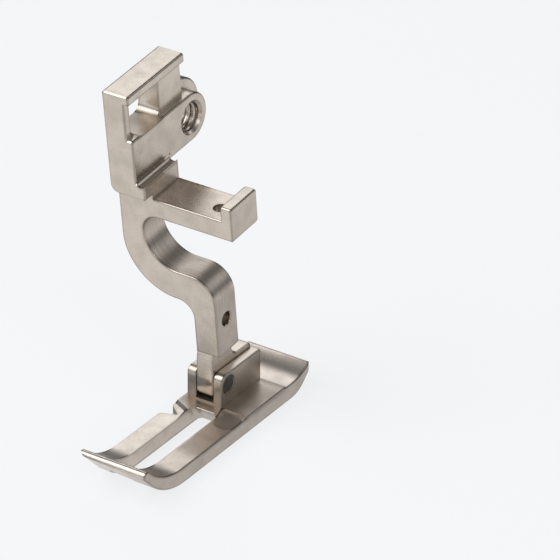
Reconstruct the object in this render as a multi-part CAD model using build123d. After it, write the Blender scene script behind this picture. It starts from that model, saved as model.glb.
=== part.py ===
from build123d import *
import math
import os

os.makedirs("parts", exist_ok=True)

# Sizes in mm. X runs across the foot, Y from the toe (negative) to the heel, Z up from the sliding face.
# The hinge pin lies along X through y = 0.

# How far a cutter runs past the face it cuts, and how near counts as in the same plane
past = 0.5
near = 0.001

# Sole plate
sole_half = 5.5
rear_left_x = -5.05
rail_top = 2.45
plate_top = 2.7
toe_start = 16.7
toe_radius = 11.0
toe_angle = 46.0
toe_run = 7.3
toe_top_start = 17.4
toe_top_radius = 10.5
toe_top_angle = 50.0
nose_setback = 0.7802
nose_z = 6.44
nose_round = 0.6
nose_slant = 0.45
nose_left_corner = 0.8
nose_right_corner = 0.5
toe_rise = 0.35
toe_corner = 1.0
rail_round = 0.18
rail_left_edge = 0.12
heel_start = 9.7
heel_radius = 4.5
heel_angle = 42.0
heel_end_y = 14.85
heel_tip_y = 14.17
heel_tip_z = 3.8
heel_tip_round = 0.25
heel_end_round = 0.45
heel_left_corner = 1.5
heel_right_corner = 1.3
dish_angle = 31.6
dish_radius = 7.8

# Raised plate between the rails, under the ears
plate_low = 1.5
plate_front = -9.0
plate_fade_y = 7.2
plate_fade_radius = 6.0
plate_back = 8.4
plate_left_rear = -3.9
plate_left = ((-2.8, -4.95), (-2.5, -6.6))
plate_left_round = 0.5
plate_left_front = -2.1
plate_right_front = 1.6
plate_bevel_wide = 0.5
plate_bevel_deep = 0.22

# Needle slot
slot_x0 = -2.37
slot_x1 = 1.81
slot_front = -23.8
slot_back_top = -3.65
slot_back_bottom = -1.75
slot_corner = 0.6
slot_rim = 0.2

# Step behind the right rail, and the thread notch on the left
step_y = -1.7
scoop_x = 3.9
scoop_y = -4.2
scoop_radius = 9.0
scoop_depth = 0.22
notch_tip = (-2.95, -6.35)
notch_tip_round = 0.12
notch_rear = (rear_left_x, -4.6)
notch_rear_round = 0.5
notch_front = (-sole_half, -7.25)
notch_front_round = 0.9

# Hinge ears
pin_z = 5.66
pin_r = 1.4
pin_chamfer = 0.1
ear_x0 = -4.58
ear_x1 = 1.22
clevis_x0 = -3.12
clevis_x1 = -0.23
clevis_floor = 2.98
ear_front = -1.7
ear_back = 8.07
ear_top = 7.5
ear_front_round = 1.1
ear_back_round = 0.4
ear_right_round = 0.18
ear_edge = 0.12

# Hinge tongue, square with the sole
side_play = 0.06
pin_play = 0.03
tongue_x0 = clevis_x0 + side_play
tongue_x1 = clevis_x1 - side_play
tongue_front = -1.66
tongue_back = 7.87
tongue_bottom = 3.34
tongue_top = 8.25
tongue_nose = 1.2
tongue_back_round = 0.75
tongue_low_left = 1.0
tongue_low_right = 0.3
tongue_edge = 0.15
tongue_lip_z = 9.65
tongue_lip_round = 0.5
neck_z = 10.22
neck_front = -1.5
neck_fillet = 1.3
neck_top_z = 11.2
neck_back_top = 2.6
neck_back = 3.45

# Shank, leaning forward about the pin
lean = 6.64
shank_left = -14.05
shank_right = 0.75
shank_front = -1.05
shank_back = 3.92
shank_foot_left = -3.05
shoulder_z = 10.53
shoulder_drop = 0.1
bay_left = -10.4
bay_floor = 23.0
bay_roof = 31.05
elbow_z = 18.4
elbow_outer = 8.4
elbow_inner = 2.45
crown_outer = 3.8
bay_low_round = 5.2
bay_high_round = 2.65
column_step_z = 28.3
shank_edge = 0.25
shank_back_edge = 0.2
side_hole_y = 1.36
side_hole_z = 15.82
side_hole_r = 1.0
side_hole_chamfer = 0.12

# Arm with its hook
arm_top = 33.98
arm_back = 5.18
arm_end = 4.56
hook_x = 2.79
hook_top = 36.24
hook_back_round = 0.45
hook_front_round = 0.35
hook_low_round = 0.5
arm_hole_x = 0.90
arm_hole_y = 1.63
arm_hole_r = 0.98

# Head
head_left = shank_left
head_front = -2.68
head_back = 10.59
head_top = 50.56
head_bottom = 34.5
head_corner = 1.2
head_top_round = 0.45
head_lap = 1.5
panel_x = -10.57
bar_x = -9.76
bar_depth = 1.44
bar_bottom = head_top - bar_depth
bar_top_round = 0.35
bar_low_round = 0.3
ear_face_x = -9.6
ear_round = 0.3
channel_depth = 6.96
channel_floor = head_top - channel_depth
channel_round = 0.1
ledge_x = -8.26
ledge_top = 36.97
ledge_low_round = 0.45
groove_x = -8.93
groove_z = 37.25
groove_r = 0.72
groove_end = 5.38
rear_bottom = 34.9
boss_face_x = -11.85
boss_r = 5.1
boss_edge = 0.2
lug_r = 3.6
lug_root = 1.5
lug_y = 10.98
lug_z = 40.0
screw_r = 2.12
screw_mouth_r = 2.52
window_front = -1.55
window_back = 5.2
window_drop = 0.15
window_bottom = channel_floor - window_drop
window_round = 1.3
head_edge = 0.2

deg = math.radians


def outline(corners):
    """Closed outline through corners (u, v, radius), each corner rounded by its radius."""
    count = len(corners)
    starts = []
    ends = []
    mids = []
    for i in range(count):
        u, v, r = corners[i]
        here = Vector(u, v)
        before = (Vector(*corners[i - 1][:2]) - here).normalized()
        after = (Vector(*corners[(i + 1) % count][:2]) - here).normalized()
        half = math.acos(max(-1.0, min(1.0, before.dot(after)))) / 2
        reach = r / math.tan(half)
        starts.append(here + before * reach)
        ends.append(here + after * reach)
        middle = (before + after).normalized()
        mids.append(here + middle * (r / math.sin(half) - r))
    edges = []
    for i in range(count):
        if corners[i][2] > 0:
            edges.append(ThreePointArc(starts[i], mids[i], ends[i]))
        j = (i + 1) % count
        if (starts[j] - ends[i]).length > 1e-6:
            edges.append(Line(ends[i], starts[j]))
    return make_face(edges)


def along_x(face, x0, x1):
    return extrude(Plane.YZ.offset(x0) * face, amount=x1 - x0)


def along_y(face, y0, y1):
    return extrude(Plane.XZ.offset(-y1) * face, amount=y1 - y0)


def along_z(face, z0, z1):
    return extrude(Plane.XY.offset(z0) * face, amount=z1 - z0)


def block(x0, x1, y0, y1, z0, z1):
    centre = ((x0 + x1) / 2, (y0 + y1) / 2, (z0 + z1) / 2)
    return Pos(*centre) * Box(x1 - x0, y1 - y0, z1 - z0)


def rod_x(y, z, r, x0, x1):
    return Pos((x0 + x1) / 2, y, z) * Rot(0, 90, 0) * Cylinder(r, x1 - x0)


def rod_y(x, z, r, y0, y1):
    return Pos(x, (y0 + y1) / 2, z) * Rot(90, 0, 0) * Cylinder(r, y1 - y0)


def rod_z(x, y, r, z0, z1):
    return Pos(x, y, (z0 + z1) / 2) * Cylinder(r, z1 - z0)


def mouth(y, z, r, wide_r, x, way):
    """Cone that opens a bore of radius r along X to wide_r at the face x, looking to +X (1) or -X (-1)."""
    deep = wide_r - r
    centre = x + way * (past - deep) / 2
    return Pos(centre, y, z) * Rot(0, 90 * way, 0) * Cone(r, wide_r + past, deep + past)


def edges_at(shape, axis, value):
    """Edges of the shape that lie in the plane square to the axis at the value."""
    found = ShapeList()
    for edge in shape.edges():
        box = edge.bounding_box()
        low = box.min.dot(axis.direction)
        high = box.max.dot(axis.direction)
        if abs(low - value) < near and abs(high - value) < near:
            found.append(edge)
    return found


def long_edge(shape, y, z):
    """Edges along X that pass through y and z."""
    return edges_at(shape, Axis.Y, y).filter_by(Axis.X).filter_by(lambda e: abs(e.center().Z - z) < near)


# Sole plate: side outline with the nose cut on a slant and rounded
toe_corner_y = -toe_start - toe_radius * math.tan(deg(toe_angle / 2))
nose_low_y = toe_corner_y - toe_run * math.cos(deg(toe_angle))
nose_low_z = toe_run * math.sin(deg(toe_angle))
nose_y = nose_low_y + nose_setback
toe_top_y = -toe_top_start - toe_top_radius * math.tan(deg(toe_top_angle / 2))
heel_corner_y = heel_start + heel_radius * math.tan(deg(heel_angle / 2))
heel_end_z = (heel_end_y - heel_corner_y) * math.tan(deg(heel_angle))
dish_corner_y = heel_tip_y - (heel_tip_z - rail_top) / math.tan(deg(dish_angle))
nose_over = 4 * past
ramp = Vector(0, -math.cos(deg(toe_angle)), math.sin(deg(toe_angle)))
top_ramp = Vector(0, nose_y - toe_top_y, nose_z - rail_top).normalized()
nose_low = Vector(0, nose_low_y, nose_low_z)
low_end = nose_low + ramp * nose_over
top_end = Vector(0, nose_y, nose_z) + top_ramp * nose_over
side = outline([
    (toe_corner_y, 0, toe_radius),
    (low_end.Y, low_end.Z, 0),
    (top_end.Y, top_end.Z, 0),
    (toe_top_y, rail_top, toe_top_radius),
    (dish_corner_y, rail_top, dish_radius),
    (heel_tip_y, heel_tip_z, heel_tip_round),
    (heel_end_y, heel_end_z, heel_end_round),
    (heel_corner_y, 0, heel_radius),
])
sole = along_x(side, -sole_half, sole_half)
right_low = nose_low + Vector(sole_half, 0, 0)
nose_across = Vector(-2 * sole_half, nose_slant, 0).normalized()
nose_rise = (Vector(0, nose_y, nose_z) - nose_low).normalized()
nose_plane = Plane(origin=right_low, x_dir=nose_across, z_dir=nose_rise.cross(nose_across))
wide = 4 * sole_half
sole -= nose_plane * block(-wide, wide, -wide, wide, 0, wide)
nose = sole.faces().sort_by(Axis.Y)[0]
sole = fillet(nose.edges().sort_by(SortBy.LENGTH)[-2:], nose_round)

# Raised plate, bevelled along the thread notch
plate_side = outline([
    (plate_front, plate_low, 0),
    (plate_front, plate_top, 0),
    (plate_fade_y, plate_top, plate_fade_radius),
    (plate_back, rail_top, 0),
    (plate_back, plate_low, 0),
])
plate_plan = outline([
    (rear_left_x, plate_back, 0),
    (rear_left_x, plate_left_rear, 0),
    (*plate_left[0], plate_left_round),
    (*plate_left[1], plate_left_round),
    (plate_left_front, plate_front, 0),
    (plate_right_front, plate_front, 0),
    (slot_x1, slot_back_top, 0),
    (ear_x1, step_y, 0),
    (sole_half, step_y, 0),
    (sole_half, plate_back, 0),
])
plate = along_x(plate_side, -sole_half, sole_half) & along_z(plate_plan, 0, plate_top + past)
plate_face = plate.faces().sort_by(Axis.Z)[-1]
bevel_edges = plate_face.edges().filter_by(
    lambda e: e.center().X < plate_left_front and e.center().Y < plate_left_rear
)
plate = chamfer(bevel_edges, plate_bevel_wide, plate_bevel_deep, reference=plate_face)
sole += plate

# Rounds along both sides, and the toe's left side ground thinner underneath
right_edges = edges_at(sole, Axis.X, sole_half).filter_by(lambda e: abs(e.center().Y - step_y) > near)
sole = fillet(right_edges, rail_round)
left_edges = edges_at(sole, Axis.X, -sole_half).filter_by(lambda e: e.center().Z > rail_top - near)
sole = chamfer(left_edges, rail_left_edge)
inward = Vector(0, math.sin(deg(toe_angle)), math.cos(deg(toe_angle)))
toe_across = (Vector(-2 * sole_half, 0, 0) + inward * toe_rise).normalized()
toe_plane = Plane(origin=right_low, x_dir=toe_across, z_dir=toe_across.cross(ramp))
sole -= toe_plane * block(-wide, wide, -wide, wide, -wide, 0)
corner_x = 2 * sole_half - toe_corner
corner = block(corner_x, wide, -wide, wide, -wide, toe_corner)
corner -= rod_y(corner_x, toe_corner, toe_corner, -wide, wide)
sole -= toe_plane * corner

# Outline seen from above, with the thread notch
plan = outline([
    (-sole_half, nose_low_y + nose_slant, nose_left_corner),
    (sole_half, nose_low_y, nose_right_corner),
    (sole_half, heel_end_y, heel_right_corner),
    (rear_left_x, heel_end_y, heel_left_corner),
    (*notch_rear, notch_rear_round),
    (*notch_tip, notch_tip_round),
    (*notch_front, notch_front_round),
])
sole &= along_z(plan, -past, nose_z + past)

# Step scoop, and the needle slot with its sloping back end
scoop = Pos(scoop_x, scoop_y, rail_top - scoop_depth + scoop_radius) * Sphere(scoop_radius)
scoop &= block(slot_x1, sole_half + past, plate_front, step_y, 0, plate_top + past)
sole -= scoop
slot_slope = (slot_back_bottom - slot_back_top) / plate_top
slot_top = nose_z + past
slot_side = outline([
    (slot_front, -past, 0),
    (slot_front, slot_top, 0),
    (slot_back_top - slot_slope * (slot_top - plate_top), slot_top, 0),
    (slot_back_bottom + slot_slope * past, -past, 0),
])
slot = along_x(slot_side, slot_x0, slot_x1)
slot = fillet(slot.edges().filter_by(lambda e: abs(e.tangent_at(0.5).Z) > 0.5), slot_corner)
sole -= slot
rim_side = outline([
    (slot_back_top - slot_rim, plate_top + slot_rim, 0),
    (slot_back_top + slot_rim, plate_top + near, 0),
    (slot_back_top - slot_slope * slot_rim, plate_top - slot_rim, 0),
    (slot_back_top - slot_rim, plate_top - slot_rim, 0),
])
sole -= along_x(rim_side, slot_x0 + slot_corner, slot_x1 - slot_corner)

# Hinge ears on the plate
ears_side = outline([
    (ear_front, plate_low, 0),
    (ear_front, ear_top, ear_front_round),
    (ear_back, ear_top, ear_back_round),
    (ear_back, plate_low, 0),
])
ears = along_x(ears_side, ear_x0, ear_x1)
ears -= block(clevis_x0, clevis_x1, ear_front - past, ear_back + past, clevis_floor, ear_top + past)
right_face_edges = edges_at(ears, Axis.X, ear_x1).filter_by(lambda e: e.center().Z > clevis_floor + near)
ears = fillet(right_face_edges, ear_right_round)
other_edges = edges_at(ears, Axis.X, ear_x0) + edges_at(ears, Axis.X, clevis_x0)
other_edges += edges_at(ears, Axis.X, clevis_x1)
ears = chamfer(other_edges.filter_by(lambda e: e.center().Z > clevis_floor + near), ear_edge)
ears -= rod_x(0, pin_z, pin_r, ear_x0 - past, ear_x1 + past)
sole += ears
export_step(sole, "parts/sole_plate.step")

# Hinge pin
pin = rod_x(0, pin_z, pin_r, ear_x0, ear_x1)
pin = chamfer(pin.edges().filter_by(GeomType.CIRCLE), pin_chamfer)
export_step(pin, "parts/hinge_pin.step")

# Shank and arm, upright: the front part, then the deeper column and arm behind it
core_top = head_bottom + head_lap
core = along_y(outline([
    (shank_left, core_top, 0),
    (shank_left, elbow_z, elbow_outer),
    (shank_foot_left, elbow_z, elbow_inner),
    (shank_foot_left, shoulder_z - shoulder_drop, 0),
    (shank_right, shoulder_z, 0),
    (shank_right, bay_floor, crown_outer),
    (bay_left, bay_floor, bay_low_round),
    (bay_left, bay_roof, bay_high_round),
    (arm_end, bay_roof, 0),
    (arm_end, hook_top, 0),
    (hook_x, hook_top, 0),
    (hook_x, arm_top, 0),
    (ledge_x, arm_top, 0),
    (ledge_x, core_top, 0),
]), shank_front, shank_back)
slab = along_y(outline([
    (shank_left, core_top, 0),
    (shank_left, column_step_z, 0),
    (bay_left, column_step_z, 0),
    (bay_left, bay_roof, bay_high_round),
    (arm_end, bay_roof, 0),
    (arm_end, hook_top, 0),
    (hook_x, hook_top, 0),
    (hook_x, arm_top, 0),
    (ledge_x, arm_top, 0),
    (ledge_x, core_top, 0),
]), shank_back - past, arm_back)
shank = core + slab
shank = fillet(long_edge(shank, shank_front, hook_top), hook_front_round)
shank = fillet(long_edge(shank, arm_back, hook_top), hook_back_round)
shank = fillet(long_edge(shank, arm_back, bay_roof), hook_low_round)
front_edges = edges_at(shank, Axis.Y, shank_front).filter_by(
    lambda e: e.center().Z < hook_top - hook_front_round - near
    and abs(e.center().Z - core_top) > near
    and abs(e.center().X - ledge_x) > near
)
shank = fillet(front_edges + edges_at(shank, Axis.X, arm_end), shank_edge)
back_edges = edges_at(shank, Axis.Y, shank_back).filter_by(lambda e: e.center().Z < column_step_z - near)
shank = chamfer(back_edges, shank_back_edge)

# Head: the front part down to the ledge, the rear part down to the boss
lug_bottom = lug_z - lug_r
head = along_y(outline([
    (head_left, head_bottom, head_corner),
    (head_left, head_top, head_top_round),
    (bar_x, head_top, bar_top_round),
    (bar_x, bar_bottom, bar_low_round),
    (panel_x, bar_bottom, 0),
    (panel_x, channel_floor, channel_round),
    (ear_face_x, channel_floor, ear_round),
    (ear_face_x, ledge_top, 0),
    (ledge_x, ledge_top, 0),
    (ledge_x, head_bottom, ledge_low_round),
]), head_front, arm_back)
head += along_y(outline([
    (head_left, rear_bottom, 0),
    (head_left, head_top, head_top_round),
    (bar_x, head_top, bar_top_round),
    (bar_x, bar_bottom, bar_low_round),
    (panel_x, bar_bottom, 0),
    (panel_x, channel_floor, channel_round),
    (ear_face_x, channel_floor, ear_round),
    (ear_face_x, lug_bottom, ear_round),
    (boss_face_x, lug_bottom, 0),
    (boss_face_x, rear_bottom, ear_round),
]), arm_back, head_back)
head = chamfer(edges_at(head, Axis.Y, head_front) + edges_at(head, Axis.Y, head_back), head_edge)
head -= rod_y(groove_x, groove_z, groove_r, head_front - past, groove_end)

# Boss and lug round the clamp screw's hole
root_x = boss_face_x - lug_root
boss = rod_x(lug_y, lug_z, boss_r, head_left, boss_face_x)
boss = chamfer(boss.edges().filter_by(GeomType.CIRCLE), boss_edge)
lug = rod_x(lug_y, lug_z, lug_r, root_x, ear_face_x)
lug = fillet(lug.edges().filter_by(GeomType.CIRCLE).sort_by(Axis.X)[-1], ear_round)
web = along_y(outline([
    (root_x, lug_bottom, 0),
    (root_x, lug_z + lug_r, 0),
    (ear_face_x, lug_z + lug_r, ear_round),
    (ear_face_x, lug_bottom, ear_round),
]), head_back - past, lug_y)
body = shank + head + boss + lug + web

# Window, screw hole, side hole and arm hole
body -= along_x(outline([
    (window_front, window_bottom, window_round),
    (window_front, bar_bottom, 0),
    (window_back, bar_bottom, 0),
    (window_back, window_bottom, window_round),
]), head_left - past, ear_face_x)
body -= rod_x(lug_y, lug_z, screw_r, head_left - past, ear_face_x + past)
body -= mouth(lug_y, lug_z, screw_r, screw_mouth_r, ear_face_x, 1)
body -= mouth(lug_y, lug_z, screw_r, screw_mouth_r, head_left, -1)
side_mouth_r = side_hole_r + side_hole_chamfer
body -= rod_x(side_hole_y, side_hole_z, side_hole_r, shank_foot_left - past, shank_right + past)
body -= mouth(side_hole_y, side_hole_z, side_hole_r, side_mouth_r, shank_right, 1)
body -= mouth(side_hole_y, side_hole_z, side_hole_r, side_mouth_r, shank_foot_left, -1)
body -= rod_z(arm_hole_x, arm_hole_y, arm_hole_r, bay_roof - past, arm_top + past)
body = body.rotate(Axis((0, 0, pin_z), (1, 0, 0)), lean)

# Tongue, square with the sole
tongue = along_x(outline([
    (tongue_front, tongue_bottom, tongue_nose),
    (tongue_front, tongue_lip_z, tongue_lip_round),
    (neck_front, neck_z, tongue_lip_round),
    (neck_front, neck_top_z, 0),
    (neck_back_top, neck_top_z, 0),
    (neck_back, tongue_top, neck_fillet),
    (tongue_back, tongue_top, tongue_back_round),
    (tongue_back, tongue_bottom, tongue_back_round),
]), tongue_x0, tongue_x1)
tongue_edges = edges_at(tongue, Axis.X, tongue_x0) + edges_at(tongue, Axis.X, tongue_x1)
tongue = chamfer(tongue_edges.filter_by(lambda e: e.center().Z < neck_top_z - near), tongue_edge)
tongue &= along_y(outline([
    (tongue_x0, tongue_bottom, tongue_low_left),
    (tongue_x1, tongue_bottom, tongue_low_right),
    (tongue_x1, neck_top_z + past, 0),
    (tongue_x0, neck_top_z + past, 0),
]), tongue_front - past, tongue_back + past)
body += tongue
body -= rod_x(0, pin_z, pin_r + pin_play, tongue_x0 - past, tongue_x1 + past)
export_step(body, "parts/foot_body.step")
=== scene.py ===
import math

import bpy
import numpy as np
from mathutils import Matrix, Vector


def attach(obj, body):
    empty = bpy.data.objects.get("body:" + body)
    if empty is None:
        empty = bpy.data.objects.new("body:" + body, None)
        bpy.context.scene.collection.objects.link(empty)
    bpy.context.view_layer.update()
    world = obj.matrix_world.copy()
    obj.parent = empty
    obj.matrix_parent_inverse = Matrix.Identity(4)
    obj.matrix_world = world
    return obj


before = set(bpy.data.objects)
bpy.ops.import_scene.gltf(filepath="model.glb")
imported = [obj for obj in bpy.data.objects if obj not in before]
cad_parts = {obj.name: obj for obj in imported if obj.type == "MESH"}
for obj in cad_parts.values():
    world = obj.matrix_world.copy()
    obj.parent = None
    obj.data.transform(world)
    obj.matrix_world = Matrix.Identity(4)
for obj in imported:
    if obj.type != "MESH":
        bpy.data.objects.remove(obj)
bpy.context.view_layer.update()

# Camera
# A long lens looks down on the foot from the toe's right, as a catalogue picture is taken.
# Its place comes from the point in the middle of the picture, the two angles and the distance.
azimuth = math.radians(33.04)
elevation = math.radians(29.27)
roll = math.radians(0.577)
distance = 0.4974
looked_at = Vector((0.00266, 0.01062, 0.01774))
focal_pixels = 3578.0
picture_pixels = 560.0
sensor_width = 36.0

towards_camera = Vector((
    math.sin(azimuth) * math.cos(elevation),
    -math.cos(azimuth) * math.cos(elevation),
    math.sin(elevation),
))
level_right = Vector((math.cos(azimuth), math.sin(azimuth), 0.0))
level_up = towards_camera.cross(level_right)
camera_right = math.cos(roll) * level_right + math.sin(roll) * level_up
camera_up = math.cos(roll) * level_up - math.sin(roll) * level_right

camera_data = bpy.data.cameras.new("camera")
camera_data.sensor_width = sensor_width
camera_data.lens = focal_pixels / picture_pixels * sensor_width
camera_data.clip_start = 0.02
camera_data.clip_end = 10.0
camera = bpy.data.objects.new("camera", camera_data)
turn = Matrix((camera_right, camera_up, towards_camera)).transposed().to_4x4()
camera.matrix_world = Matrix.Translation(looked_at + distance * towards_camera) @ turn
bpy.context.scene.collection.objects.link(camera)
bpy.context.scene.camera = camera


# Studio floor
# A pale sweep of card under the foot, which looks white and still takes its soft shadow.
# In the metal it shows pale on the toe's side, dimmer on the right, pale again further out, and dark
# on the left from the needle slot back.
class Socket:
    """A value in a material. Arithmetic on it adds the Math nodes that work it out."""

    def __init__(self, shade, link):
        self.shade = shade
        self.link = link

    def math(self, operation, *others):
        inputs = dict(enumerate((self,) + others))
        return self.shade.node("ShaderNodeMath", {"operation": operation}, inputs)

    def __add__(self, other):
        return self.math("ADD", other)

    __radd__ = __add__

    def __mul__(self, other):
        return self.math("MULTIPLY", other)

    __rmul__ = __mul__

    def __sub__(self, other):
        return self.math("SUBTRACT", other)

    def __rsub__(self, other):
        return self * -1.0 + other

    def step(self, low, high):
        """0 below low, 1 above high and a smooth rise between. With high under low it falls."""
        settings = {"interpolation_type": "SMOOTHSTEP"}
        return self.shade.node("ShaderNodeMapRange", settings, {0: self, 1: low, 2: high})

    def parts(self):
        """The x, y and z of a vector."""
        split = self.shade.node("ShaderNodeSeparateXYZ", None, {0: self}).link.node
        return [Socket(self.shade, part) for part in split.outputs]


class Shade:
    """The node tree of one material or of the world."""

    def __init__(self, owner):
        owner.use_nodes = True
        self.tree = owner.node_tree
        self.tree.nodes.clear()

    def node(self, kind, settings=None, inputs=None, output=0):
        """Adds a node: its settings first, then the values or links of its sockets."""
        made = self.tree.nodes.new(kind)
        for name, value in (settings or {}).items():
            setattr(made, name, value)
        for name, value in (inputs or {}).items():
            if isinstance(value, Socket):
                self.tree.links.new(value.link, made.inputs[name])
            else:
                made.inputs[name].default_value = value
        return Socket(self, made.outputs[output])

    def mix(self, factor, first, second):
        """Colour between first and second by factor."""
        inputs = {0: factor, 6: first, 7: second}
        return self.node("ShaderNodeMix", {"data_type": "RGBA"}, inputs, output=2)

    def noise(self, place, scale, detail):
        inputs = {"Vector": place, "Scale": scale, "Detail": detail}
        return self.node("ShaderNodeTexNoise", None, inputs)

    def finish(self, surface, kind="ShaderNodeOutputMaterial"):
        out = self.tree.nodes.new(kind)
        self.tree.links.new(surface.link, out.inputs["Surface"])


def link_mesh(name, points, faces):
    """A new object at the origin, with its place in its mesh."""
    mesh = bpy.data.meshes.new(name)
    mesh.from_pydata(points, [], faces)
    mesh.update()
    piece = bpy.data.objects.new(name, mesh)
    bpy.context.scene.collection.objects.link(piece)
    return piece


floor_half = 1.5
card_colour = (0.96, 0.96, 0.96, 1.0)
card_glow = (0.975, 0.985, 1.0, 1.0)
glow_in_view = 0.76
glow_in_metal = 0.85

# How bright the card is in the metal, and where it changes. The first two changes run along outward_x
# and outward_y, mostly to the right. The dark part lies left of one limit and back of the other.
metal_glow_front = 0.99
metal_glow_right = 0.62
metal_glow_left = 0.20
added_glow_far = 0.34
outward_x = 0.85
outward_y = 0.25
front_to_right = (-0.014, 0.005)
right_to_far = (0.038, 0.054)
dark_left_of = (-0.002, -0.008)
dark_back_of = (-0.016, -0.007)

card = bpy.data.materials.new("studio_card")
shade = Shade(card)
seen = shade.node("ShaderNodeLightPath", output="Is Camera Ray")
mirrored = shade.node("ShaderNodeLightPath", output="Is Glossy Ray")
x, y, _ = shade.node("ShaderNodeTexCoord", output="Object").parts()
outward = x * outward_x + y * outward_y
on_right = outward.step(*front_to_right)
dark = x.step(*dark_left_of) * y.step(*dark_back_of)
in_metal = metal_glow_front - on_right * (metal_glow_front - metal_glow_right)
in_metal = in_metal + outward.step(*right_to_far) * added_glow_far
strength = seen + mirrored * (in_metal + dark * (metal_glow_left - in_metal))
matt = shade.node("ShaderNodeBsdfDiffuse", None, {"Color": card_colour})
glow = shade.node("ShaderNodeEmission", None, {"Color": card_glow, "Strength": strength})
share = seen * glow_in_view + mirrored * glow_in_metal
shade.finish(shade.node("ShaderNodeMixShader", None, {0: share, 1: matt, 2: glow}))
floor = link_mesh("floor", [
    (-floor_half, -floor_half, 0.0),
    (floor_half, -floor_half, 0.0),
    (floor_half, floor_half, 0.0),
    (-floor_half, floor_half, 0.0),
], [(0, 1, 2, 3)])
floor.data.materials.append(card)


# Studio light
# Two soft boxes stand on the toe's side. The room behind is dim but for two pale panels.
# The camera sees the room as white.
lamps_aim = Vector((0.0, 0.0, 0.02))


def soft_box(name, place, size, power):
    """A lamp at a place, turned towards the lower half of the foot."""
    lamp = bpy.data.lights.new(name, "AREA")
    lamp.shape = "RECTANGLE"
    lamp.size, lamp.size_y = size
    lamp.energy = power
    box = bpy.data.objects.new(name, lamp)
    box.location = place
    box.rotation_euler = (lamps_aim - Vector(place)).to_track_quat("-Z", "Y").to_euler()
    bpy.context.scene.collection.objects.link(box)


def panel(shade, direction, middle, inner, outer):
    """1 in the directions within the inner angle of the panel's middle, 0 beyond the outer angle."""
    operation = {"operation": "DOT_PRODUCT"}
    towards = shade.node("ShaderNodeVectorMath", operation, {0: direction, 1: middle}, output=1)
    return towards.step(math.cos(math.radians(outer)), math.cos(math.radians(inner)))


soft_box("left_box", place=(-0.40, -0.42, 0.60), size=(0.60, 0.60), power=2.6)
soft_box("right_box", place=(0.55, -0.35, 0.45), size=(0.35, 0.35), power=1.0)

room_colour = (0.95, 0.97, 1.0, 1.0)
room_front = 0.55
room_back = 0.12
back_from = (-0.15, 0.3)
ceiling_until = (1.0, 0.85)
left_panel = 1.42
right_panel = 1.0

world = bpy.data.worlds.new("room")
bpy.context.scene.world = world
shade = Shade(world)
direction = shade.node("ShaderNodeTexCoord", output="Generated")
_, north, height = direction.parts()
in_back = north.step(*back_from) * height.step(*ceiling_until)
light = room_front - in_back * (room_front - room_back)
on_left = panel(shade, direction, middle=(-0.446, 0.685, 0.576), inner=12.0, outer=19.0)
on_right = panel(shade, direction, middle=(0.489, 0.731, 0.476), inner=9.0, outer=19.0)
light = light + on_left * left_panel + on_right * right_panel
seen = shade.node("ShaderNodeLightPath", output="Is Camera Ray")
light = light + seen * (1.0 - light)
sky = shade.node("ShaderNodeBackground", None, {"Color": room_colour, "Strength": light})
shade.finish(sky, "ShaderNodeOutputWorld")
bpy.context.scene.view_settings.view_transform = "Standard"


# Foot body
# Head, shank, arm and hinge tongue are one casting, ground on the flats and plated with nickel. Fine
# pits show on the flats, corners carry painted shade, and the shank's curves keep the polishing belt's
# lines.
def tint(colour, share):
    return (*(share * c for c in colour), 1.0)


# Marks in the plate. Each tint is the share of the plate's own colour that is left in the mark.
cloud_scale = 420.0
cloud_limits = (0.3, 0.75)
cloud_tint = 0.85
cloud_rough = 0.12
speck_scale = 3000.0
speck_relief = 0.5
pit_limits = (0.60, 0.72)
pit_depth = 0.18
pit_tint = 0.55
pit_rough = 0.10

# Painted shade goes in corners, found by how little open sky they see, and a painted dark reflection
# on edges, found by how little metal is within reach.
occlusion_samples = 12
corner_limits = (0.78, 0.2)
corner_shade_tints = (0.16, 0.13, 0.10)
corner_rough = 0.22
edge_reach = 0.00045
edge_limits = (0.93, 0.76)
edge_reflection_tint = 0.45
edge_rough = 0.14

# Edges that face right and up are painted nearly black, a painted dark reflection of the dim room.
line_limits = (0.15, 0.45)
line_gain = 2.3
line_tint = 0.02

# The belt's lines are close together along Y and long in the other two directions.
belt_scale = (220.0, 7000.0, 220.0)
belt_limits = (0.35, 0.75)
belt_depth = 0.5
belt_tint = 0.5
belt_relief = 2.5
belt_rough = 0.08
plate_relief = 0.000005


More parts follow.
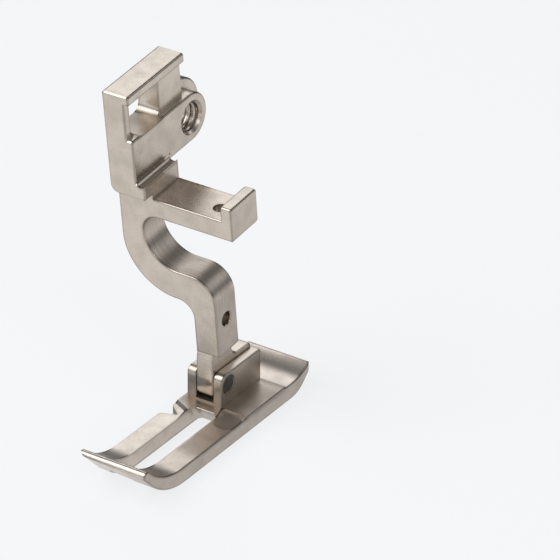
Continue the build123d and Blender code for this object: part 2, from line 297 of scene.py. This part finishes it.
def nickel(name, colour, roughness, corner_reach, painted_shade_strength, edge_reflection_strength, streaked=None, extra_shade=None):
    """Nickel plate with clouds and pits, painted shade in its corners and a painted dark reflection on
    its edges. The function streaked says where it has belt lines, the other one where it takes more
    painted shade."""
    material = bpy.data.materials.new(name)
    shade = Shade(material)
    place = shade.node("ShaderNodeTexCoord", output="Object")
    x, y, z = place.parts()
    facing = shade.node("ShaderNodeNewGeometry", output="Normal").parts()

    cloud = shade.noise(place, cloud_scale, 5.0)
    speck = shade.noise(place, speck_scale, 2.0)
    pits = speck.step(*pit_limits)
    base = shade.mix(cloud.step(*cloud_limits), tint(colour, 1.0), tint(colour, cloud_tint))
    base = shade.mix(pits * pit_depth, base, tint(colour, pit_tint))

    outside = {"only_local": True, "samples": occlusion_samples}
    inside = {**outside, "inside": True}
    occlusion = "ShaderNodeAmbientOcclusion"
    open_sky = shade.node(occlusion, outside, {"Distance": corner_reach}, output="AO")
    metal_within = shade.node(occlusion, inside, {"Distance": edge_reach}, output="AO")
    corner = open_sky.step(*corner_limits)
    edge = metal_within.step(*edge_limits)
    if extra_shade:
        corner = corner.math("MAXIMUM", extra_shade(x, y, z))
    # Corners and the places the extra function gives darken to this colour: painted shade.
    corner_shade_colour = (*(share * c for share, c in zip(corner_shade_tints, colour)), 1.0)
    base = shade.mix(corner * painted_shade_strength, base, corner_shade_colour)
    # A painted dark reflection on the edges, nearly black where they face right and up.
    right_top = facing[0].step(*line_limits) * facing[2].step(*line_limits)
    base = shade.mix(edge * right_top * (edge_reflection_strength * line_gain), base, tint(colour, line_tint))
    base = shade.mix(edge * edge_reflection_strength, base, tint(colour, edge_reflection_tint))

    # The clouds' middle value takes half of cloud_rough, so the plate's own roughness stays its mean.
    rough = cloud * cloud_rough + pits * pit_rough + corner * corner_rough - edge * edge_rough
    rough = rough + (roughness - cloud_rough / 2)
    relief = speck * speck_relief
    if streaked:
        stretched = {i: part * scale for i, (part, scale) in enumerate(zip((x, y, z), belt_scale))}
        across = shade.node("ShaderNodeCombineXYZ", None, stretched)
        streak = shade.noise(across, 1.0, 3.0)
        brushed = streaked(x, y, z, facing)
        relief = relief + (streak - 0.5) * brushed * belt_relief
        rough = rough + brushed * belt_rough
        base = shade.mix(brushed * streak.step(*belt_limits) * belt_depth, base, tint(colour, belt_tint))
    bump = {"Strength": 1.0, "Distance": plate_relief, "Height": relief}
    shade.finish(shade.node("ShaderNodeBsdfPrincipled", None, {
        "Base Color": base,
        "Metallic": 1.0,
        "Roughness": rough,
        "Normal": shade.node("ShaderNodeBump", None, bump),
    }))
    return material


def dress(node, material):
    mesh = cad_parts[node].data
    mesh.materials.clear()
    mesh.materials.append(material)


def shank_curves(x, y, z, facing):
    """1 on the shank between the shoulder and the arm, where its skin doesn't face the toe or heel."""
    above_shoulder = z.step(0.0155, 0.0185)
    below_arm = z.step(0.0315, 0.0300)
    return above_shoulder * below_arm * facing[1].math("ABSOLUTE").step(0.6, 0.3)


def body_painted_shade(x, y, z):
    """Painted shade: rises towards the tongue's foot, between the ears, and on the window's walls."""
    behind_panel = x.step(-0.0094, -0.0098)
    between_sides = y.step(-0.0062, -0.0056) * y.step(0.0006, 0.0)
    between_sill_and_bar = z.step(0.0425, 0.0440) * z.step(0.0492, 0.0482)
    in_window = behind_panel * between_sides * between_sill_and_bar
    near_foot = z.step(0.0080, 0.0022)
    return near_foot * 0.14 + in_window * 0.66


body_colour = (0.63, 0.555, 0.48)
dress("foot_body", nickel(
    "body_nickel", body_colour, roughness=0.27, corner_reach=0.0012, painted_shade_strength=0.75, edge_reflection_strength=0.62,
    streaked=shank_curves, extra_shade=body_painted_shade))

# Clamp screw thread
# The ear's hole is tapped for the clamp screw, and its turns stand in from the drilled wall.
# The thread is cut in the ear itself, so it has the body's nickel, with painted shade in the grooves.
bore_y = 0.006936
bore_z = 0.041039
thread_start = -0.01368
thread_end = -0.00997
thread_pitch = 0.0008
thread_root = 0.00214
thread_depth = 0.00033
thread_skin = 0.00225
thread_runout = 0.00022
thread_phase = 0.80
crest_height = 1.20
flank_slope = 3.2
thread_rows = 140
thread_columns = 96


def threaded_bore():
    """A closed sleeve round the bore's axis. Its inner radius is the root less the depth times a ridge
    that rises and falls once in each pitch and moves on by a pitch in each turn. The ridge has straight
    flanks, cut off flat at the crest and at the root. It fades out at both ends, and the outer skin is
    a plain circle, buried in the ear."""
    along = np.linspace(thread_start, thread_end, thread_rows)[:, None]
    angle = np.linspace(0.0, 2.0 * np.pi, thread_columns, endpoint=False)[None, :]
    turn_share = (along / thread_pitch + angle / (2.0 * np.pi) + thread_phase) % 1.0
    ridge = np.clip(crest_height - flank_slope * np.abs(turn_share - 0.5), 0.0, 1.0)
    to_end = np.minimum(along - thread_start, thread_end - along) / thread_runout
    radius = thread_root - thread_depth * ridge * np.clip(to_end, 0.0, 1.0)
    skin = np.full((2, thread_columns), thread_skin)
    radius = np.vstack([radius, skin])
    along = np.vstack([along, [[thread_end], [thread_start]]]) + 0.0 * angle
    across = [along, bore_y + radius * np.cos(angle), bore_z + radius * np.sin(angle)]
    points = np.stack(across, -1)
    row, column = np.mgrid[0:thread_rows + 2, 0:thread_columns]
    next_row = (row + 1) % (thread_rows + 2)
    next_column = (column + 1) % thread_columns
    corners = [(row, column), (next_row, column), (next_row, next_column), (row, next_column)]
    faces = np.stack([r * thread_columns + c for r, c in corners], -1)
    return points.reshape(-1, 3), faces.reshape(-1, 4)


def groove_shade(x, y, z):
    """Painted shade: 1 in the thread's grooves, falling to 0 at its crests, by the distance from the
    bore's axis.
    """
    from_axis = ((y - bore_y).math("POWER", 2.0) + (z - bore_z).math("POWER", 2.0)).math("SQRT")
    return from_axis.step(thread_root - 0.75 * thread_depth, thread_root - 0.1 * thread_depth)


points, faces = threaded_bore()
thread = link_mesh("clamp_screw_thread", points.tolist(), faces.tolist())
thread.data.polygons.foreach_set("use_smooth", [True] * len(thread.data.polygons))
thread.data.materials.append(nickel(
    "thread_nickel", body_colour, roughness=0.36, corner_reach=0.0006, painted_shade_strength=0.97, edge_reflection_strength=0.0,
    extra_shade=groove_shade))
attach(thread, "foot")


# Sole plate
# The sole and its ears are one piece, polished where the cloth slides, with painted shade round the
# ears.
def ear_painted_shade(x, y, z):
    """Painted shade, highest beside and in front of the ears, 0 towards the rails, the heel and the
    ears' tops.
    """
    right_rail = x.step(0.0010, 0.0024) * y.step(-0.0160, -0.0110)
    back_of_slot = y.step(-0.0052, -0.0022)
    beside = (back_of_slot + right_rail).math("MINIMUM", 1.0)
    front_of_heel = y.step(0.0095, 0.0050)
    below_tops = z.step(0.0085, 0.0050)
    above_underside = z.step(0.0016, 0.0024)
    return beside * front_of_heel * below_tops * above_underside * 0.56


sole_colour = (0.66, 0.585, 0.51)
dress("sole_plate", nickel(
    "sole_nickel", sole_colour, roughness=0.29, corner_reach=0.0012, painted_shade_strength=0.70, edge_reflection_strength=0.60,
    extra_shade=ear_painted_shade))

# Hinge pin
# A ground steel pin, pressed through both ears and flush with them. Its end is dark, and a thin ring low
# on the heel's side is a painted highlight on its rim.
pin_z = 0.00566
pin_radius = 0.0014
highlight_width = 0.00018
highlight_side = (0.0002, 0.0012)
highlight_colour = (0.62, 0.58, 0.53, 1.0)
steel_pale = (0.135, 0.134, 0.135, 1.0)
steel_dark = (0.085, 0.085, 0.086, 1.0)
steel_cloud_scale = 900.0
steel_relief = 0.000006

pin_steel = bpy.data.materials.new("pin_steel")
shade = Shade(pin_steel)
place = shade.node("ShaderNodeTexCoord", output="Object")
_, y, z = place.parts()
up = z - pin_z
cloud = shade.noise(place, steel_cloud_scale, 4.0)
from_axis = (y.math("POWER", 2.0) + up.math("POWER", 2.0)).math("SQRT")
# A painted highlight on the pin's rim, on one side only.
rim_highlight = from_axis.step(pin_radius - 1.3 * highlight_width, pin_radius - 0.9 * highlight_width)
rim_highlight = rim_highlight * (y - up).step(*highlight_side)
steel = shade.mix(cloud.step(0.3, 0.7), steel_pale, steel_dark)
bump = {"Strength": 1.0, "Distance": steel_relief, "Height": cloud}
shade.finish(shade.node("ShaderNodeBsdfPrincipled", None, {
    "Base Color": shade.mix(rim_highlight, steel, highlight_colour),
    "Metallic": 1.0,
    "Roughness": cloud * 0.15 + 0.30,
    "Normal": shade.node("ShaderNodeBump", None, bump),
}))
dress("hinge_pin", pin_steel)
